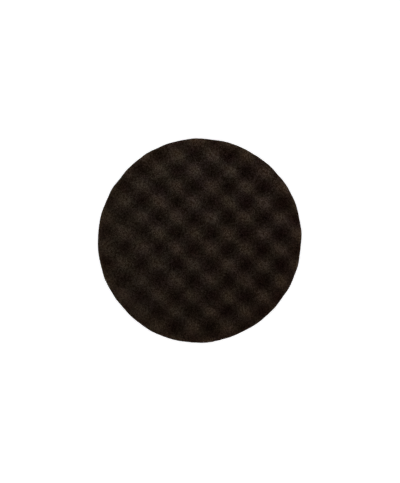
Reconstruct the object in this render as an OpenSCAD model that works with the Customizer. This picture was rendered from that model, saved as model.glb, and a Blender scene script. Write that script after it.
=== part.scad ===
// Waffle-faced foam polishing pad with a hook-and-loop back.
// The pad lies on its back rim at z = 0, and its polishing face looks up along +Z.

/* [Pad] */
// Outside diameter of the foam
pad_d = 203; // [190:1:230]
// Height from the back rim to the tops of the waffle peaks
pad_h = 32; // [26:1:40]

/* [Waffle face] */
// Distance between neighbouring peaks along a row
peak_gap_x = 34.4; // [26:0.2:44]
// Distance between neighbouring peaks across the rows
peak_gap_y = 30.9; // [26:0.2:44]
// Turn of the rows about the pad's axis, in degrees
row_turn = -0.7; // [-45:0.1:45]
// Place of one peak from the pad's axis, along X
peak_x = -5.5; // [-18:0.5:18]
// Place of one peak from the pad's axis, along Y
peak_y = 7.2; // [-16:0.2:16]
// Height of the peaks above the valleys
wave_depth = 9; // [4:0.5:12]
// How far the saddles of one diagonal stand above those of the other, as a share of half the depth
ridge_bias = 0.12; // [0:0.02:0.3]
// Narrowing of the ridges that run along the higher diagonal, as a share of half the depth
ridge_sharp = 0.09; // [0:0.01:0.2]

/* [Foam edge] */
// Rounding where the waffle face meets the side wall
face_round = 2.5; // [2:0.5:6]
// Rounding where the side wall curls under to the back rim
back_round = 7; // [3:0.5:7]

/* [Back] */
// Diameter of the recess that a backing plate drops into
recess_d = 184; // [150:1:184]
// Depth of the recess from the back rim to the loop face
recess_h = 5; // [4:0.5:8]
// Diameter of the loop fabric disc
loop_d = 180; // [140:1:180]
// Height of the raised loops
pile_t = 1.6; // [1:0.1:2.5]
// Thickness of the knitted ground cloth that carries the loops
ground_t = 0.7; // [0.5:0.1:1]
// Thickness of the hot-melt film between cloth and foam
film_t = 0.4; // [0.2:0.1:0.6]

/* [Hidden] */

// Heights of the layers, from the recess floor up
ground_z = recess_h + pile_t;
film_z = ground_z + ground_t;
seat_z = film_z + film_t;

// The face is a disc of concentric rings, ring k holding 6k points
face_rings = 28;
rim_points = 6 * face_rings;
face_r = pad_d / 2 - face_round;
mid_z = pad_h - (1 + ridge_sharp) * wave_depth / 2;
// Steps of the quarter circle at each rounded edge
round_steps = 3;
// Overshoot of cutting tools past the surface they open
cut = 1;

// Height of the waffle at a point: two cosine waves multiplied, with the ridges along one diagonal a
// little higher and narrower
function waffle_z(x, y) =
    let (dx = x - peak_x, dy = y - peak_y)
    let (u = 360 * (dx * cos(row_turn) + dy * sin(row_turn)) / peak_gap_x)
    let (v = 360 * (dy * cos(row_turn) - dx * sin(row_turn)) / peak_gap_y)
    let (wave = cos(u) * cos(v) - ridge_bias * sin(u) * sin(v) + ridge_sharp * cos(2 * (u + v)))
    mid_z + wave_depth / 2 * wave;

// One ring of the face
function face_ring(k) = [
    for (j = [0 : 6 * k - 1])
        let (r = face_r * k / face_rings, a = 60 * j / k)
        [r * cos(a), r * sin(a), waffle_z(r * cos(a), r * sin(a))]
];

// One ring of the side wall, at a radius, a share of the local wall height, and a drop below that
function wall_ring(r, share, drop) = [
    for (j = [0 : rim_points - 1])
        let (a = 360 * j / rim_points)
        [r * cos(a), r * sin(a), share * waffle_z(face_r * cos(a), face_r * sin(a)) - drop]
];

// Rounded edge from the face down to the wall, then the curl under to the back rim
wall_rings = concat(
    [for (i = [1 : round_steps])
        let (t = 90 * i / round_steps)
        wall_ring(face_r + face_round * sin(t), 1, face_round * (1 - cos(t)))],
    [for (i = [0 : round_steps])
        let (t = 90 * i / round_steps)
        wall_ring(pad_d / 2 - back_round * (1 - cos(t)), 0, -back_round * (1 - sin(t)))]
);

foam_points = concat(
    [[0, 0, waffle_z(0, 0)]],
    [for (k = [1 : face_rings]) each face_ring(k)],
    [for (ring = wall_rings) each ring]
);

// Index of point j on face ring k, wrapping round the ring
function face_index(k, j) = k == 0 ? 0 : 1 + 3 * k * (k - 1) + j % (6 * k);

// Index of point j on band ring b, where b = 0 is the rim of the face
function band_index(b, j) = face_index(face_rings, 0) + b * rim_points + j % rim_points;

// Triangles between face rings k - 1 and k, one sixth of the ring at a time
function face_triangles(k) = [
    for (s = [0 : 5], j = [0 : k - 1])
        each concat(
            [[face_index(k, s * k + j + 1), face_index(k, s * k + j), face_index(k - 1, s * (k - 1) + j)]],
            j == k - 1 ? [] : [[
                face_index(k - 1, s * (k - 1) + j),
                face_index(k - 1, s * (k - 1) + j + 1),
                face_index(k, s * k + j + 1)
            ]]
        )
];

// Triangles between band rings b and b + 1
function band_triangles(b) = [
    for (j = [0 : rim_points - 1])
        each [
            [band_index(b, j), band_index(b, j + 1), band_index(b + 1, j + 1)],
            [band_index(b, j), band_index(b + 1, j + 1), band_index(b + 1, j)]
        ]
];

foam_faces = concat(
    [for (k = [1 : face_rings]) each face_triangles(k)],
    [for (b = [0 : len(wall_rings) - 1]) each band_triangles(b)],
    [[for (j = [0 : rim_points - 1]) band_index(len(wall_rings), j)]]
);

// Open-cell foam body: waffle face, curled edge, and the stepped recess in its back
module waffle_foam() {
    color("#241c16")
        difference() {
            polyhedron(points = foam_points, faces = foam_faces);
            translate([0, 0, -cut])
                cylinder(d = recess_d, h = recess_h + cut, $fn = 180);
            cylinder(d = loop_d, h = seat_z, $fn = 180);
        }
}

// A disc of the back's laminate
module layer(z, thickness) {
    translate([0, 0, z])
        cylinder(d = loop_d, h = thickness, $fn = 180);
}

// Hot-melt film that bonds the cloth to the foam
module bond_film() {
    color("#b8b09a")
        layer(film_z, film_t);
}

// Knitted ground cloth
module loop_ground() {
    color("#46464a")
        layer(ground_z, ground_t);
}

// Raised loops that the backing plate's hooks grip
module loop_pile() {
    color("#707175")
        layer(recess_h, pile_t);
}

waffle_foam();
bond_film();
loop_ground();
loop_pile();
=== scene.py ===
"""Looks of a waffle-faced foam polishing pad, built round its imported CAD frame.

Everything is in metres in the CAD frame: the pad lies face up on its back rim, and its axis is Z.
"""

import math

import bpy
import numpy as np
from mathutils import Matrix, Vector


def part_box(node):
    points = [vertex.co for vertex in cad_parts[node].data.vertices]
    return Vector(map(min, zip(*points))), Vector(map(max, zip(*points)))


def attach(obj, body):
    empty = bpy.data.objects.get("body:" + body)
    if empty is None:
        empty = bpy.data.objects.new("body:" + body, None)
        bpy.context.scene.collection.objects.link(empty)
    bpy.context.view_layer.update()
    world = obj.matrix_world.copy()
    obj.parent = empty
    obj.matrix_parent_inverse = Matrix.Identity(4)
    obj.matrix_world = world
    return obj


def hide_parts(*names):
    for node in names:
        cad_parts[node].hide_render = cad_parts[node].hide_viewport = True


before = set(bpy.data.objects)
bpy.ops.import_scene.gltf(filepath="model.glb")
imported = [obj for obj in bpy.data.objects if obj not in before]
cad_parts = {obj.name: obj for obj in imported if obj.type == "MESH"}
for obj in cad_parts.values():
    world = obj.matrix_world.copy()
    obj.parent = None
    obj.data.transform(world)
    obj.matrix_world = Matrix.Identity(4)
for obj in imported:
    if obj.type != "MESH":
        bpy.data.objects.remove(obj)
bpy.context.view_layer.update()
MM = 0.001
BODY = "root"

# ---------------------------------------------------------------- sizes from the frame

FOAM_LOW, FOAM_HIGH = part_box("waffle_foam")
_, FILM_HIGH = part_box("bond_film")
GROUND_LOW, GROUND_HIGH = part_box("loop_ground")
PILE_LOW, PILE_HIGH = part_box("loop_pile")

PAD_R = (FOAM_HIGH.x - FOAM_LOW.x) / 2
PAD_H = FOAM_HIGH.z - FOAM_LOW.z
CLOTH_R = (PILE_HIGH.x - PILE_LOW.x) / 2
RECESS_H = PILE_LOW.z
SEAT_Z = FILM_HIGH.z

# The waffle, the rounded edges and the recess repeat the CAD's driving dimensions.
PEAK_GAP = (34.4 * MM, 30.9 * MM)
ROW_TURN = math.radians(-0.7)
PEAK_AT = (-5.5 * MM, 7.2 * MM)
WAVE_DEPTH = 9 * MM
RIDGE_BIAS = 0.12
RIDGE_SHARP = 0.09
FACE_ROUND = 2.5 * MM
BACK_ROUND = 7 * MM
RECESS_R = 92 * MM


# ---------------------------------------------------------------- shape helpers

def value_noise(points, height, cell, seed):
    """Smooth noise from -height to height at each point, from a seeded lattice with that cell size."""
    side = 32
    table = np.random.default_rng(seed).uniform(-1, 1, (side, side, side))
    cells = points / cell
    base = np.floor(cells).astype(int)
    part = cells - base
    part = part * part * (3 - 2 * part)
    total = np.zeros(len(points))
    for corner in np.ndindex(2, 2, 2):
        index = (base + corner) % side
        weight = np.prod(np.where(corner, part, 1 - part), axis=1)
        total += weight * table[index[:, 0], index[:, 1], index[:, 2]]
    return height * total


def mesh_object(name, points, faces):
    """A smooth-shaded mesh object in the scene, from points and faces."""
    mesh = bpy.data.meshes.new(name)
    mesh.from_pydata([tuple(p) for p in points], [], faces)
    mesh.validate()
    mesh.update()
    mesh.shade_smooth()
    obj = bpy.data.objects.new(name, mesh)
    bpy.context.scene.collection.objects.link(obj)
    return obj


def disc_rings(count, radius):
    """Angles and radii of a disc's points, ring by ring: the middle, then ring k with 6k points."""
    angles, radii = [np.zeros(1)], [np.zeros(1)]
    for k in range(1, count + 1):
        angles.append(np.arange(6 * k) * math.pi / (3 * k))
        radii.append(np.full(6 * k, radius * k / count))
    return angles, radii


def disc_faces(count):
    """Triangles over a disc of rings, seen from above."""
    faces = []
    inner = 0
    for k in range(1, count + 1):
        n_in, n_out = max(1, 6 * (k - 1)), 6 * k
        outer = inner + n_in
        for j in range(n_out):
            sixth, step = divmod(j, k)
            a, b = outer + j, outer + (j + 1) % n_out
            c = inner + (sixth * (k - 1) + step) % n_in
            faces.append((a, b, c))
            if step < k - 1:
                faces.append((c, b, inner + (sixth * (k - 1) + step + 1) % n_in))
        inner = outer
    return faces


def band_faces(first, bands, around):
    """Quads down a tube of rings that have the same number of points, from point index first."""
    faces = []
    for band in range(bands):
        upper, lower = first + band * around, first + (band + 1) * around
        for j in range(around):
            j2 = (j + 1) % around
            faces.append((upper + j, lower + j, lower + j2, upper + j2))
    return faces


def steps(start, end, count):
    """Values in that many equal steps, without the start."""
    return np.linspace(start, end, count + 1)[1:]


def quarter(count):
    """Sines and cosines of a quarter turn in that many steps, without its start."""
    return [(math.sin(turn), math.cos(turn)) for turn in steps(0, math.pi / 2, count)]


# ---------------------------------------------------------------- waffle foam

FACE_RINGS = 130
RIM_POINTS = 6 * FACE_RINGS
FACE_ROUND_STEPS = 5
WALL_STEPS = 30
BACK_ROUND_STEPS = 11
MOUTH_STEPS = 3
RECESS_STEPS = 4
SEAT_STEPS = 2

WALL_BOW = 0.5 * MM  # how far the wall draws in at mid height
MOUTH_ROUND = 0.8 * MM
DEPTH_TILT = 0.13  # how much deeper the waffle is at the right edge than in the middle
PEAK_ROOM = 0.9 * MM  # room left for the deepest waves' peaks
MID_Z = PAD_H - WAVE_DEPTH / 2 - PEAK_ROOM  # midway between peaks and valleys

# Unevenness of cut foam, each as its height, the size of its features and the seed of its noise;
# the depth's height is a share of the depth
PEAK_SHIFT_X = (0.7 * MM, 27 * MM, 3)
PEAK_SHIFT_Y = (0.7 * MM, 27 * MM, 4)
DEPTH_CHANGE = (0.12, 20 * MM, 5)
RIM_CHANGE = (0.25 * MM, 13 * MM, 6)
CUT_ROUGHNESS = ((0.10 * MM, 1.7 * MM, 11), (0.08 * MM, 3.9 * MM, 12), (0.22 * MM, 13 * MM, 13))
SMOOTH_BELOW = 1.2 * MM  # the back rim is smooth up to here, where it rests on a surface
SMOOTH_ROUND_SEAT = 1 * MM  # and so is the cloth's seat, with this margin

# Die-cut foam is a little out of round: how many lobes, their height and the direction of one.
OUT_OF_ROUND = ((2, 0.65 * MM, 51), (3, 0.28 * MM, 17), (4, 0.15 * MM, 11), (5, 0.12 * MM, 32))


def waffle_z(x, y):
    """Height of the waffle face, with the small unevenness of cut foam."""
    flat = np.stack([x, y, np.zeros_like(x)], axis=1)
    dx = x - PEAK_AT[0] + value_noise(flat, *PEAK_SHIFT_X)
    dy = y - PEAK_AT[1] + value_noise(flat, *PEAK_SHIFT_Y)
    u = 2 * np.pi * (dx * math.cos(ROW_TURN) + dy * math.sin(ROW_TURN)) / PEAK_GAP[0]
    v = 2 * np.pi * (dy * math.cos(ROW_TURN) - dx * math.sin(ROW_TURN)) / PEAK_GAP[1]
    wave = np.cos(u) * np.cos(v) - RIDGE_BIAS * np.sin(u) * np.sin(v) + RIDGE_SHARP * np.cos(2 * (u + v))
    depth = WAVE_DEPTH / 2 * (1 + value_noise(flat, *DEPTH_CHANGE) + DEPTH_TILT * x / PAD_R)
    return MID_Z + depth * wave


def outline(angle, radius):
    """Radius with the pad's slight out-of-roundness, which fades towards its axis."""
    round_rim = PAD_R * np.stack([np.cos(angle), np.sin(angle), 0 * angle], axis=1)
    error = value_noise(round_rim, *RIM_CHANGE)
    for lobes, height, at in OUT_OF_ROUND:
        error = error + height * np.cos(lobes * (angle - math.radians(at)))
    return radius + (radius / PAD_R) ** 4 * error


def face_rings():
    """Points of the waffle face, ring by ring from its middle out."""
    rings = []
    for angle, radius in zip(*disc_rings(FACE_RINGS, PAD_R - FACE_ROUND)):
        r = outline(angle, radius)
        x, y = r * np.cos(angle), r * np.sin(angle)
        rings.append(np.stack([x, y, waffle_z(x, y)], axis=1))
    return rings


def body_profile(rim_z):
    """Radius and height of each ring past the face: its edge, the wall, the back rim and the recess."""
    face_r = PAD_R - FACE_ROUND
    wall_top = rim_z - FACE_ROUND
    for sine, cosine in quarter(FACE_ROUND_STEPS):
        yield face_r + FACE_ROUND * sine, rim_z - FACE_ROUND * (1 - cosine)
    for share in steps(0, 1, WALL_STEPS):
        yield PAD_R - WALL_BOW * math.sin(math.pi * share), wall_top + share * (BACK_ROUND - wall_top)
    for sine, cosine in quarter(BACK_ROUND_STEPS):
        yield PAD_R - BACK_ROUND * (1 - cosine), BACK_ROUND * (1 - sine)
    yield RECESS_R + MOUTH_ROUND, 0.0
    for sine, cosine in quarter(MOUTH_STEPS):
        yield RECESS_R + MOUTH_ROUND * (1 - sine), MOUTH_ROUND * (1 - cosine)
    for z in steps(MOUTH_ROUND, RECESS_H, RECESS_STEPS):
        yield RECESS_R, z
    for radius in steps(RECESS_R, CLOTH_R, SEAT_STEPS):
        yield radius, RECESS_H
    for z in steps(RECESS_H, SEAT_Z, SEAT_STEPS):
        yield CLOTH_R, z


def foam_rings():
    """Points of the whole foam, ring by ring: the face, then round the wall and back to the seat."""
    rings = face_rings()
    angle = np.arange(RIM_POINTS) * 2 * np.pi / RIM_POINTS
    for radius, z in body_profile(rings[-1][:, 2]):
        r = outline(angle, radius)
        rings.append(np.stack([r * np.cos(angle), r * np.sin(angle), z + 0 * r], axis=1))
    return rings


def foam_faces(rings):
    """The face's triangles, the bands below them, and one fan to close the seat."""
    bands = len(rings) - 1 - FACE_RINGS
    first = sum(len(ring) for ring in rings[:FACE_RINGS])
    last = first + bands * RIM_POINTS
    centre = last + RIM_POINTS
    fan = [(last + j, centre, last + (j + 1) % RIM_POINTS) for j in range(RIM_POINTS)]
    return disc_faces(FACE_RINGS) + band_faces(first, bands, RIM_POINTS) + fan


def make_foam():
    """The foam body, roughened a little all over, as open cells are when a blade cuts them."""
    rings = foam_rings()
    points = np.concatenate(rings + [np.array([[0, 0, SEAT_Z]])])
    foam = mesh_object("foam_body", points, foam_faces(rings))
    normals = np.zeros(len(points) * 3)
    foam.data.vertices.foreach_get("normal", normals)
    rough = sum(value_noise(points, *layer) for layer in CUT_ROUGHNESS)
    from_axis, z = np.hypot(points[:, 0], points[:, 1]), points[:, 2]
    seated = (from_axis < CLOTH_R + SMOOTH_ROUND_SEAT) & (z < SEAT_Z + SMOOTH_ROUND_SEAT)
    rough[(z < SMOOTH_BELOW) | seated] = 0.0
    moved = points + normals.reshape(-1, 3) * rough[:, None]
    foam.data.vertices.foreach_set("co", moved.astype(np.float32).ravel())
    foam.data.update()
    return foam


# ---------------------------------------------------------------- loop cloth

GROUND_RINGS = 140
WALE_GAP = 2.2 * MM
COURSE_GAP = 1.6 * MM
COURSE_WEAVE = 2.2  # how far a course swings to and fro across the wales, in radians of its own wave
COURSE_SHARE = 0.2  # how much of the relief is the courses'
KNIT_RELIEF = 0.11 * MM
CUT_EDGE = 1.2 * MM  # the relief fades out and the loops stop this far from the cut edge

LOOP_SEED = 29
LOOP_GAP = 2.4 * MM
LOOP_STRAY = 0.18 * MM  # spread of the loops about their places in the rows
LOOP_WIDTH = 1.1 * MM
LOOP_BEND = 1.2 * MM
YARN_R = 0.19 * MM
YARN_SIDES = 3
# One loop's line: across its feet, along its bend and up, as shares of its sizes
LOOP_LINE = (
    (-0.35, 0.0, -0.12),
    (-0.85, 0.06, 0.32),
    (-0.70, 0.16, 0.76),
    (0.0, 0.24, 1.0),
    (0.70, 0.16, 0.76),
    (0.85, 0.06, 0.32),
    (0.35, 0.0, -0.12),
)
# Middle and spread of the loops' turns, in radians, and of their leans, as a share of their height
LOOP_TURNS = (0.35, 0.7)
LOOP_LEANS = (0.3, 0.55)
# Least and greatest share of the full height and width that a loop has
LOOP_HEIGHTS = (0.8, 1.0)
LOOP_WIDTHS = (0.75, 1.3)
# The loops near the edge are pressed down by the blade that cuts the cloth.
PRESSED_EDGE = 3 * MM
PRESSED_HEIGHT = 0.5


def make_ground():
    """The knitted ground: a thin round cloth whose underside shows its wales and courses."""
    angle, radius = (np.concatenate(part) for part in disc_rings(GROUND_RINGS, CLOTH_R))
    x, y = radius * np.cos(angle), radius * np.sin(angle)
    wale = np.abs(np.sin(np.pi * x / WALE_GAP))
    course = np.cos(2 * np.pi * y / COURSE_GAP + COURSE_WEAVE * np.cos(2 * np.pi * x / WALE_GAP))
    hollow = KNIT_RELIEF * (1 - wale * (1 - COURSE_SHARE + COURSE_SHARE * course))
    hollow *= np.clip((CLOTH_R - radius) / CUT_EDGE, 0, 1)
    under = np.stack([x, y, GROUND_LOW.z + hollow], axis=1)
    rim = under[-6 * GROUND_RINGS:] * (1, 1, 0) + (0, 0, GROUND_HIGH.z)
    points = np.concatenate([under, rim, [[0, 0, GROUND_HIGH.z]]])
    first = len(under)
    centre = first + len(rim)
    faces = disc_faces(GROUND_RINGS) + band_faces(first - len(rim), 1, len(rim))
    faces = [tuple(reversed(face)) for face in faces]
    faces += [(first + j, first + (j + 1) % len(rim), centre) for j in range(len(rim))]
    return mesh_object("ground_cloth", points, faces)


def loop_places(rng):
    """Where each loop stands, in staggered rows, with its turn about Z, lean, height and width."""
    row_gap = LOOP_GAP * math.sqrt(3) / 2
    rows = int(CLOTH_R / row_gap) + 1
    columns = int(CLOTH_R / LOOP_GAP) + 1
    row, column = np.mgrid[-rows:rows + 1, -columns:columns + 1].reshape(2, -1)
    x = (column + 0.5 * (row % 2)) * LOOP_GAP + rng.normal(0, LOOP_STRAY, row.size)
    y = row * row_gap + rng.normal(0, LOOP_STRAY, row.size)
    turn = rng.normal(*LOOP_TURNS, row.size)
    lean = rng.normal(*LOOP_LEANS, row.size)
    height = rng.uniform(*LOOP_HEIGHTS, row.size)
    width = rng.uniform(*LOOP_WIDTHS, row.size)
    radius = np.hypot(x, y)
    height[radius > CLOTH_R - PRESSED_EDGE] *= PRESSED_HEIGHT
    kept = radius < CLOTH_R - CUT_EDGE
    return [value[kept][:, None] for value in (x, y, turn, lean, height, width)]


def loop_lines():
    """The middle line of every loop: an array of loops, points along a loop, and coordinates."""
    x, y, turn, lean, height, width = loop_places(np.random.default_rng(LOOP_SEED))
    along, side, up = np.array(LOOP_LINE).T
    up = (PILE_HIGH.z - PILE_LOW.z - YARN_R) * up * height
    side = LOOP_BEND * side + lean * up
    along = LOOP_WIDTH * width * height * along
    return np.stack([
        x + along * np.cos(turn) - side * np.sin(turn),
        y + along * np.sin(turn) + side * np.cos(turn),
        PILE_HIGH.z - up,
    ], axis=2)


def make_loops():
    """Raised loops of yarn all over the cloth, each leaning its own way, as one piece."""
    line = loop_lines()
    tangent = np.gradient(line, axis=1)
    tangent /= np.linalg.norm(tangent, axis=2, keepdims=True)
    across = np.cross(tangent, (0.0, 0.0, 1.0))
    across /= np.maximum(np.linalg.norm(across, axis=2, keepdims=True), 1e-9)
    other = np.cross(tangent, across)
    turns = np.arange(YARN_SIDES) * 2 * np.pi / YARN_SIDES
    ring = np.stack([math.cos(t) * across + math.sin(t) * other for t in turns], axis=2)
    points = (line[:, :, None, :] + YARN_R * ring).reshape(-1, 3)

    per_loop = len(LOOP_LINE) * YARN_SIDES
    one = [tuple(reversed(face)) for face in band_faces(0, len(LOOP_LINE) - 1, YARN_SIDES)]
    one.append(tuple(reversed(range(YARN_SIDES))))
    one.append(tuple(range(per_loop - YARN_SIDES, per_loop)))
    faces = [tuple(k * per_loop + i for i in face) for k in range(len(line)) for face in one]
    return mesh_object("loop_yarns", points, faces)


# ---------------------------------------------------------------- material helpers

def new_material(name):
    """A material with an empty tree but for its output and its Principled shader."""
    mat = bpy.data.materials.new(name)
    mat.use_nodes = True
    tree = mat.node_tree
    tree.nodes.clear()
    out = tree.nodes.new("ShaderNodeOutputMaterial")
    shader = tree.nodes.new("ShaderNodeBsdfPrincipled")
    tree.links.new(shader.outputs["BSDF"], out.inputs["Surface"])
    return mat, tree, shader


def feed(tree, socket, value):
    """Gives a socket an output to follow, or a constant."""
    if isinstance(value, (int, float, tuple)):
        socket.default_value = value
    else:
        tree.links.new(value, socket)


def place(tree):
    """The point being shaded, in the pad's frame."""
    return tree.nodes.new("ShaderNodeTexCoord").outputs["Object"]


def axes(tree, at):
    """X, Y and Z of a point, as three outputs."""
    split = tree.nodes.new("ShaderNodeSeparateXYZ")
    feed(tree, split.inputs[0], at)
    return split.outputs


def ramp(tree, value, low, high, to_low, to_high, kind="SMOOTHSTEP"):
    """A value mapped from one range to another, and held inside it."""
    made = tree.nodes.new("ShaderNodeMapRange")
    made.interpolation_type = kind
    for key, number in (("From Min", low), ("From Max", high), ("To Min", to_low), ("To Max", to_high)):
        made.inputs[key].default_value = number
    feed(tree, made.inputs["Value"], value)
    return made.outputs["Result"]


def across_pad(tree, value, at_left, at_right):
    """A number that changes evenly as a distance goes from one edge of the pad to the other."""
    return ramp(tree, value, -PAD_R, PAD_R, at_left, at_right, "LINEAR")


def number_math(tree, operation, *values):
    """The result of an operation on two or more numbers, from left to right, or on a single one."""
    result = values[0]
    for value in values[1:] or (0.0,):
        made = tree.nodes.new("ShaderNodeMath")
        made.operation = operation
        feed(tree, made.inputs[0], result)
        feed(tree, made.inputs[1], value)
        result = made.outputs[0]
    return result


def vector_math(tree, operation, *values):
    """The result of an operation on vectors; a dot product or a length gives a number."""
    made = tree.nodes.new("ShaderNodeVectorMath")
    made.operation = operation
    for socket, value in zip(made.inputs, values):
        feed(tree, socket, value)
    return made.outputs["Value" if operation in ("DOT_PRODUCT", "LENGTH") else "Vector"]


def scaled(tree, colour, amount):
    """A colour made lighter or darker by a number."""
    made = tree.nodes.new("ShaderNodeVectorMath")
    made.operation = "SCALE"
    feed(tree, made.inputs[0], colour)
    feed(tree, made.inputs["Scale"], amount)
    return made.outputs["Vector"]


def filtered(tree, colour, *filters):
    """A colour multiplied by other colours, as light is by the filters that it passes."""
    for one in filters:
        colour = vector_math(tree, "MULTIPLY", colour, one)
    return colour


def mixed(tree, share, first, second):
    """A blend of two colours."""
    made = tree.nodes.new("ShaderNodeMix")
    made.data_type = "RGBA"
    factor, colour_a, colour_b = (made.inputs[i] for i in (0, 6, 7))
    for socket, value in ((factor, share), (colour_a, first), (colour_b, second)):
        feed(tree, socket, value)
    return made.outputs[2]


def toned(tree, share, stops):
    """A colour from a ramp of three tones."""
    made = tree.nodes.new("ShaderNodeValToRGB")
    made.color_ramp.elements.new(0.5)
    for stop, (position, colour) in zip(made.color_ramp.elements, stops):
        stop.position, stop.color = position, colour
    feed(tree, made.inputs[0], share)
    return made.outputs[0]


NOISE_SPAN = (0.3, 0.7)  # where nearly all values of a noise texture lie


def patchy(tree, at, size, low, high, detail=2.0):
    """A number that wanders between low and high over patches of that size."""
    made = tree.nodes.new("ShaderNodeTexNoise")
    made.inputs["Scale"].default_value = 1 / size
    made.inputs["Detail"].default_value = detail
    feed(tree, made.inputs["Vector"], at)
    return ramp(tree, made.outputs["Fac"], *NOISE_SPAN, low, high)


def voronoi(tree, at, size, feature):
    """A Voronoi node for cells of that size."""
    made = tree.nodes.new("ShaderNodeTexVoronoi")
    made.feature = feature
    made.inputs["Scale"].default_value = 1 / size
    feed(tree, made.inputs["Vector"], at)
    return made


def bumped(tree, shader, height, depth, strength):
    """Feeds a height to the shader's normal."""
    bump = tree.nodes.new("ShaderNodeBump")
    bump.inputs["Strength"].default_value = strength
    bump.inputs["Distance"].default_value = depth
    feed(tree, bump.inputs["Height"], height)
    feed(tree, shader.inputs["Normal"], bump.outputs[0])


# ---------------------------------------------------------------- foam material

WHITE = (1.0, 1.0, 1.0, 1.0)

# Colours of the foam from below its valleys to above its peaks, in its greener and its redder patches:
# painted shade, darker and redder down in the valleys and lighter on the peaks
OLIVE_HEIGHT_SHADES = (
    (0.0, (0.0136, 0.0074, 0.0043, 1)),
    (0.5, (0.0203, 0.0134, 0.0082, 1)),
    (1.0, (0.0393, 0.0266, 0.0167, 1)),
)
PLUM_HEIGHT_SHADES = (
    (0.0, (0.0144, 0.0062, 0.0043, 1)),
    (0.5, (0.0209, 0.0121, 0.0082, 1)),
    (1.0, (0.0400, 0.0252, 0.0167, 1)),
)
# Painted shade: the wall's colour is a shade darker than the peaks', so the wall that the low lamps light
# straight on reads like the face.
SHADED_WALL_COLOUR = (0.0163, 0.0113, 0.0081, 1)
FACE_UP = (0.1, 0.6)  # how far a surface turns up where the wall's colour gives way to the face's
MID_TONE = 0.464  # the place in those tones of the height midway between peaks and valleys
# How much of those tones one waffle depth takes up, from left to right: the painted shade between peaks
# and valleys grows stronger to the right
SHADE_REACH = (0.61, 1.04)
SHADE_REACH_TOWARDS = (0.98, 0.20, 0.0)
HUE_PATCH = 13 * MM
PLUM_TO_RIGHT = 0.4  # how much the redder patches take over from left to right

# Larger changes of colour: patches of bluer and yellower foam, and of paler and darker foam
TINT_PATCH = 19 * MM
BLUER = (1.0, 1.0, 1.06, 1.0)
YELLOWER = (1.0, 1.0, 0.94, 1.0)
BLOTCH = (11 * MM, 0.87, 1.13)
# Painted light: the tone drifts from a darker, browner side of the pad to a paler, greyer one, as if the
# light fell stronger on that side.
SHADED_SIDE_TONE = (0.80, 0.76, 0.69, 1.0)
LIT_SIDE_TONE = (1.20, 1.24, 1.31, 1.0)
LIT_SIDE_TOWARDS = (-0.39, 0.92, 0.0)
# Painted shade makes the foam a little darker and browner all round, over this distance from its edge,
# and a painted highlight makes it paler at the very rim.
EDGE_SHADE = (0.935, 0.86, 0.765, 1.0)
EDGE_SHADE_REACH = (20 * MM, 5 * MM)
RIM_HIGHLIGHT = 1.3
RIM_HIGHLIGHT_REACH = (4 * MM, 1 * MM)

# The foam's cells, large and small: their size, and the light of their darkest, lightest and struts; the
# struts' light is a painted glint
LARGE_CELLS = (1.0 * MM, 0.33, 1.48, 1.34)
SMALL_CELLS = (0.5 * MM, 0.60, 1.35, 1.15)
CELL_STRETCH = (1.2, 0.95, 1.0)
# A pit's light rises from its middle out, as painted shade down in the pore, and a strut's painted glint
# falls off from a cell's edge in; in cells.
PIT_REACH = (0.05, 0.6)
PIT_LIGHT = (0.6, 1.15)
STRUT_REACH = (0.03, 0.14)
CELL_SHOW = (1.24, 0.95)  # how strongly single cells show, in the valleys and on the peaks
# The struts' painted glints are greyer than the foam: how strongly each channel follows the cells'
# painted shade and glints.
GLINT = (1.0, 1.26, 1.64)
DARKEST = (0.15, 0.12, 0.06)
CELL_RELIEF = 0.3 * MM


def cell_light(tree, at, size, darkest, lightest, strut):
    """Light of cut foam cells: painted glints on the struts round painted shade in the pits, and a tone
    of its own for each cell.
    """
    middle = voronoi(tree, at, size, "F1")
    pit = ramp(tree, middle.outputs["Distance"], *PIT_REACH, *PIT_LIGHT)
    split = tree.nodes.new("ShaderNodeSeparateColor")
    feed(tree, split.inputs[0], middle.outputs["Color"])
    tone = ramp(tree, split.outputs[0], 0.0, 1.0, darkest, lightest, "LINEAR")
    # Painted glint on the struts along each cell's edge.
    edge = voronoi(tree, at, size, "DISTANCE_TO_EDGE")
    wall = ramp(tree, edge.outputs["Distance"], *STRUT_REACH, strut, 1.0)
    return number_math(tree, "MULTIPLY", pit, tone, wall)


def cell_grain_shade_and_glint(tree, at):
    """Light of the large cells, with the small ones inside them: their own tones, with painted shade in
    the pits and painted glints on the struts.
    """
    stretched = vector_math(tree, "MULTIPLY", at, CELL_STRETCH)
    large, small = (cell_light(tree, stretched, *cells) for cells in (LARGE_CELLS, SMALL_CELLS))
    return number_math(tree, "MULTIPLY", large, small)


def foam_tone_and_height_shade(tree, at):
    """The foam's colour on the face, with painted shade by height whose contrast grows to the right, and
    on its wall, painted a shade darker.
    """
    x, _, z = axes(tree, at)
    # Painted shade by height: darker and redder down in the valleys, lighter on the peaks, with more
    # contrast to the right.
    height = number_math(tree, "SUBTRACT", z, MID_Z)
    along = vector_math(tree, "DOT_PRODUCT", at, SHADE_REACH_TOWARDS)
    reach = across_pad(tree, along, *(share / WAVE_DEPTH for share in SHADE_REACH))
    share = number_math(tree, "ADD", number_math(tree, "MULTIPLY", height, reach), MID_TONE)
    plum = across_pad(tree, x, -PLUM_TO_RIGHT, PLUM_TO_RIGHT)
    patches = number_math(tree, "ADD", patchy(tree, at, HUE_PATCH, 0, 1, 0.0), plum)
    face = mixed(tree, patches, toned(tree, share, OLIVE_HEIGHT_SHADES), toned(tree, share, PLUM_HEIGHT_SHADES))
    facing = axes(tree, tree.nodes.new("ShaderNodeTexCoord").outputs["Normal"])["Z"]
    return mixed(tree, ramp(tree, facing, *FACE_UP, 1.0, 0.0), face, SHADED_WALL_COLOUR)


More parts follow.
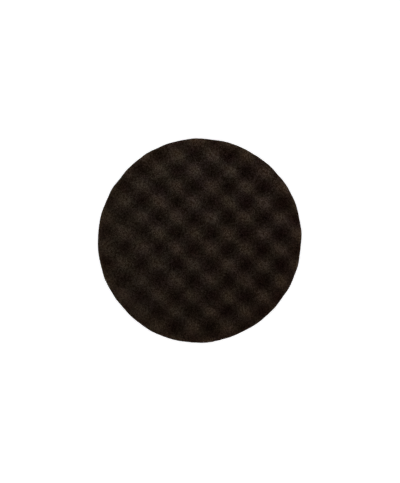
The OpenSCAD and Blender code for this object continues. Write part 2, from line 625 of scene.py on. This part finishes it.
def near_edge(tree, at, reach, inside, outside):
    """A number that goes from inside to outside between two distances from the pad's edge."""
    out = vector_math(tree, "LENGTH", vector_math(tree, "MULTIPLY", at, (1.0, 1.0, 0.0)))
    return ramp(tree, out, PAD_R - reach[0], PAD_R - reach[1], inside, outside)


def foam_colour(tree, at):
    """The foam's colour without its cells: its tone, and the painted light that drifts across the pad,
    the painted shade near the edge, the painted highlight at the rim and the patches over it.
    """
    # Painted highlight at the very rim, painted light drifting across the pad and painted shade near the
    # edge.
    rim = near_edge(tree, at, RIM_HIGHLIGHT_REACH, 1.0, RIM_HIGHLIGHT)
    pale = number_math(tree, "MULTIPLY", patchy(tree, at, *BLOTCH), rim)
    along = vector_math(tree, "DOT_PRODUCT", at, LIT_SIDE_TOWARDS)
    light_drift = mixed(tree, across_pad(tree, along, 0, 1), SHADED_SIDE_TONE, LIT_SIDE_TONE)
    edge = mixed(tree, near_edge(tree, at, EDGE_SHADE_REACH, 0.0, 1.0), WHITE, EDGE_SHADE)
    tint = mixed(tree, patchy(tree, at, TINT_PATCH, 0, 1, 0.0), YELLOWER, BLUER)
    return filtered(tree, scaled(tree, foam_tone_and_height_shade(tree, at), pale), light_drift, edge, tint)


def cells_over(tree, at, grain_shade_and_glint):
    """What single cells do to the foam's colour: they show less on the peaks, and their painted glints
    are greyer than the foam.
    """
    z = axes(tree, at)["Z"]
    show = ramp(tree, z, MID_Z - WAVE_DEPTH / 2, MID_Z + WAVE_DEPTH / 2, *CELL_SHOW, "LINEAR")
    swing = number_math(tree, "MULTIPLY", number_math(tree, "SUBTRACT", grain_shade_and_glint, 1.0), show)
    lit = vector_math(tree, "ADD", scaled(tree, GLINT, swing), WHITE[:3])
    return vector_math(tree, "MAXIMUM", lit, DARKEST)


def foam_material():
    """Matt black open-cell foam, with painted shade that makes it darker and redder where it is deep."""
    mat, tree, shader = new_material("open_cell_foam")
    at = place(tree)
    grain_shade_and_glint = cell_grain_shade_and_glint(tree, at)
    colour = filtered(tree, foam_colour(tree, at), cells_over(tree, at, grain_shade_and_glint))
    feed(tree, shader.inputs["Base Color"], colour)
    bumped(tree, shader, grain_shade_and_glint, CELL_RELIEF, 0.8)
    shader.inputs["Roughness"].default_value = 0.95
    shader.inputs["Specular IOR Level"].default_value = 0.05
    shader.inputs["Diffuse Roughness"].default_value = 0.6
    return mat


# ---------------------------------------------------------------- film and cloth materials

FILM_COLOUR = (0.45, 0.40, 0.30)
GROUND_COLOUR = (0.060, 0.060, 0.065)
YARN_COLOUR = (0.22, 0.22, 0.23)
# Patches of tone: their size, their darkest and lightest share of the colour, and their fineness
FILM_CLOUD = (5 * MM, 0.85, 1.1, 4.0)
CLOTH_PATCH = (9 * MM, 0.85, 1.12, 2.0)
FIBRE = (0.4 * MM, 0.75, 1.2, 3.0)
STITCH_TONES = (0.6, 1.15)
GROUND_RELIEF = 0.15 * MM
YARN_TWIST = 0.5 * MM


def film_material():
    """Cloudy amber hot-melt film."""
    mat, tree, shader = new_material("hot_melt_film")
    cloud = patchy(tree, place(tree), *FILM_CLOUD)
    feed(tree, shader.inputs["Base Color"], scaled(tree, FILM_COLOUR, cloud))
    shader.inputs["Roughness"].default_value = 0.35
    return mat


def cloth_material(name, colour, wale, course, relief=0.0):
    """Knitted nylon: the ribs of its stitches and small changes of tone, with a bump of that depth."""
    mat, tree, shader = new_material(name)
    at = place(tree)
    x, y, _ = axes(tree, at)
    waves = [
        number_math(tree, "SINE", number_math(tree, "MULTIPLY", value, 2 * math.pi / gap))
        for value, gap in ((x, wale), (y, course))
    ]
    knit = ramp(tree, number_math(tree, "MULTIPLY", *waves), -1, 1, *STITCH_TONES)
    fibre = patchy(tree, at, *FIBRE)
    tone = number_math(tree, "MULTIPLY", knit, patchy(tree, at, *CLOTH_PATCH), fibre)
    feed(tree, shader.inputs["Base Color"], scaled(tree, colour, tone))
    if relief:
        bumped(tree, shader, number_math(tree, "MULTIPLY", knit, fibre), relief, 0.6)
    shader.inputs["Roughness"].default_value = 0.8
    shader.inputs["Specular IOR Level"].default_value = 0.15
    return mat


def paint(obj, mat):
    """Gives a piece one material in its object's slot."""
    if not obj.material_slots:
        obj.data.materials.append(None)
    for one in obj.material_slots:
        one.link = "OBJECT"
        one.material = mat


# ---------------------------------------------------------------- stage, lights, camera

FLOOR_R = 0.6
FLOOR_SIDES = 96
FLOOR_GLOW = 0.6
FLOOR_COLOUR = (0.86, 0.86, 0.86, 1)
RING_LIGHTS = 8
RING_R = 1.3
RING_UP = math.radians(12)
RING_SIZE = 0.6
RING_POWER = 4.47
TOP_HEIGHT = 1.9
TOP_SIZE = 2.0
TOP_POWER = 17.75

LENS_MM = 135
SENSOR_MM = 36
VIEW_OVER_PAD = 2.366  # the picture's height over the pad's width
PICTURE_SHIFT = (0.5 * MM, -1.12 * MM)


def make_stage():
    """A round white light table under the pad, in a white room that lights nothing itself."""
    turns = np.arange(FLOOR_SIDES) * 2 * np.pi / FLOOR_SIDES
    edge = FLOOR_R * np.stack([np.cos(turns), np.sin(turns), 0 * turns], axis=1)
    floor = mesh_object("floor", edge, [tuple(range(FLOOR_SIDES))])
    mat, _, shader = new_material("light_table")
    shader.inputs["Base Color"].default_value = FLOOR_COLOUR
    shader.inputs["Roughness"].default_value = 0.9
    shader.inputs["Emission Color"].default_value = WHITE
    shader.inputs["Emission Strength"].default_value = FLOOR_GLOW
    paint(floor, mat)
    world = bpy.data.worlds.new("studio")
    bpy.context.scene.world = world
    world.use_nodes = True
    world.node_tree.nodes["Background"].inputs["Color"].default_value = WHITE
    world.node_tree.nodes["Background"].inputs["Strength"].default_value = 1.0
    world.cycles_visibility.diffuse = False
    world.cycles_visibility.glossy = False


def soft_light(name, at, size, power):
    """A square softbox aimed at the pad."""
    data = bpy.data.lights.new(name, "AREA")
    data.size = size
    data.energy = power
    lamp = bpy.data.objects.new(name, data)
    lamp.location = at
    lamp.rotation_euler = (-Vector(at)).to_track_quat("-Z", "Y").to_euler()
    lamp.visible_camera = False
    bpy.context.scene.collection.objects.link(lamp)


def make_lights():
    """A ring of low softboxes, which leave the valleys dark, and a broad one overhead."""
    reach = RING_R * math.cos(RING_UP)
    for k in range(RING_LIGHTS):
        turn = 2 * math.pi * (k + 0.5) / RING_LIGHTS
        at = (reach * math.cos(turn), reach * math.sin(turn), RING_R * math.sin(RING_UP))
        soft_light(f"ring_{k}", at, RING_SIZE, RING_POWER)
    soft_light("overhead", (0, 0, TOP_HEIGHT), TOP_SIZE, TOP_POWER)


def make_camera():
    """Straight above the face, far enough to take in the same frame as the photograph."""
    data = bpy.data.cameras.new("camera")
    data.lens = LENS_MM
    data.sensor_width = SENSOR_MM
    camera = bpy.data.objects.new("camera", data)
    distance = VIEW_OVER_PAD * 2 * PAD_R * LENS_MM / SENSOR_MM
    camera.location = (PICTURE_SHIFT[0], PICTURE_SHIFT[1], PAD_H - WAVE_DEPTH / 2 + distance)
    bpy.context.scene.collection.objects.link(camera)
    bpy.context.scene.camera = camera


# ---------------------------------------------------------------- pieces

def stand_in(obj, node):
    """Puts a Blender-made piece in a CAD node's place."""
    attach(obj, BODY)
    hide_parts(node)


def main():
    """Builds every piece, then the stage."""
    make_camera()
    foam = make_foam()
    paint(foam, foam_material())
    stand_in(foam, "waffle_foam")

    loops = make_loops()
    paint(loops, cloth_material("loop_yarn", YARN_COLOUR, YARN_TWIST, YARN_TWIST))
    stand_in(loops, "loop_pile")

    ground = make_ground()
    paint(ground, cloth_material("ground_knit", GROUND_COLOUR, WALE_GAP, COURSE_GAP, GROUND_RELIEF))
    stand_in(ground, "loop_ground")

    paint(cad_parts["bond_film"], film_material())
    make_stage()
    make_lights()


main()
bpy.context.scene.view_settings.view_transform = "Standard"
